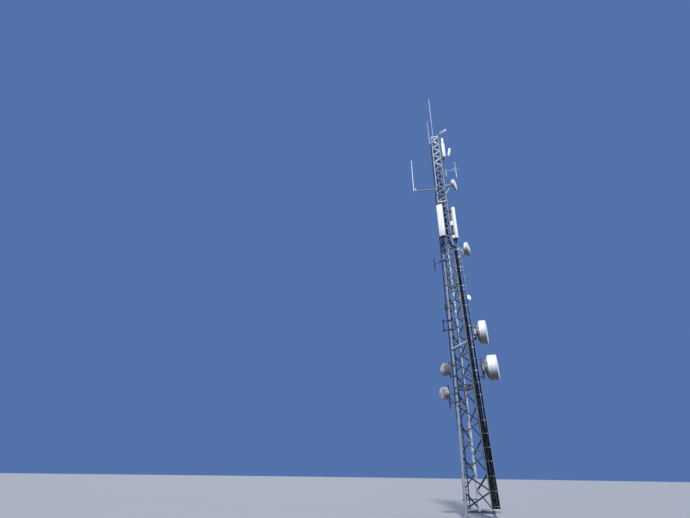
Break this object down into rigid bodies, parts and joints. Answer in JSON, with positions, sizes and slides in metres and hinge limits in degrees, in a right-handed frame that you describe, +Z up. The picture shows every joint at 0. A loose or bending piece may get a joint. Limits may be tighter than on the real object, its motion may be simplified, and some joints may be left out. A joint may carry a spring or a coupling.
{
  "type": "lattice cell tower",
  "caption": "Slim three-legged lattice cell tower with feeder ladder, climbing ladder, sector panels, shrouded microwave dishes and whip antennas.",
  "frame": {"origin": "tower axis at the underside of the base frame, where it sits on its foundation", "axes": "+Z up; -Y is the front face with a leg at each side; the third leg stands at +Y; +X is the feeder ladder's side"},
  "size_m": [3.3959, 1.6482, 25.3],
  "materials": {
    "galvanised_steel": "hot-dip galvanised, weathered to a dull grey with spangle and light rust at joints",
    "cable_jacket": "matt black polyethylene, dusty",
    "dark_paint": "matt dark grey paint, worn",
    "whip_fibreglass": "weathered pale fibreglass",
    "antenna_aluminium": "dull aluminium tube",
    "radome_white": "matt white plastic, streaked with dirt",
    "dish_shroud_paint": "white painted metal shroud with a fabric radome, dusty",
    "radio_paint": "light grey powder coat"
  },
  "bodies": {
    "root": {"base_frame": "galvanised_steel", "leg_left": "galvanised_steel", "leg_right": "galvanised_steel", "leg_rear": "galvanised_steel", "foot_plates": "galvanised_steel", "front_bracing_lower": "galvanised_steel", "front_bracing_upper": "galvanised_steel", "left_bracing_lower": "galvanised_steel", "left_bracing_upper": "galvanised_steel", "right_bracing_lower": "galvanised_steel", "right_bracing_upper": "galvanised_steel", "climbing_ladder": "dark_paint", "climbing_ladder_brackets": "galvanised_steel", "feeder_ladder": "galvanised_steel", "feeder_ladder_brackets": "galvanised_steel", "feeder_cables": "cable_jacket", "mast_cable_ladder": "galvanised_steel", "mast_cables": "cable_jacket", "antenna_jumpers": "cable_jacket", "tall_whip": "whip_fibreglass", "short_whip": "whip_fibreglass", "yagi_antenna": "antenna_aluminium", "slim_panel": "radome_white", "slim_panel_mount": "galvanised_steel", "small_panel": "radome_white", "side_arm": "galvanised_steel", "side_whip": "whip_fibreglass", "ground_plane_arm": "galvanised_steel", "ground_plane_antenna": "whip_fibreglass", "upper_dish": "dish_shroud_paint", "upper_dish_mount": "galvanised_steel", "sector_panel_left": "radome_white", "sector_panel_right": "radome_white", "sector_mount_left": "galvanised_steel", "sector_mount_right": "galvanised_steel", "radio_unit": "radio_paint", "mid_dish": "radome_white", "mid_dish_mount": "galvanised_steel", "dipole_antenna": "dark_paint", "small_dish": "radome_white", "junction_box": "dark_paint", "spare_mount": "dark_paint", "drum_upper": "dish_shroud_paint", "drum_upper_mount": "galvanised_steel", "drum_lower": "dish_shroud_paint", "drum_lower_mount": "galvanised_steel", "drum_radios": "radio_paint", "left_drum_upper": "dish_shroud_paint", "left_drum_lower": "dish_shroud_paint", "left_drum_mounts": "galvanised_steel"}
  },
  "joints": []
}
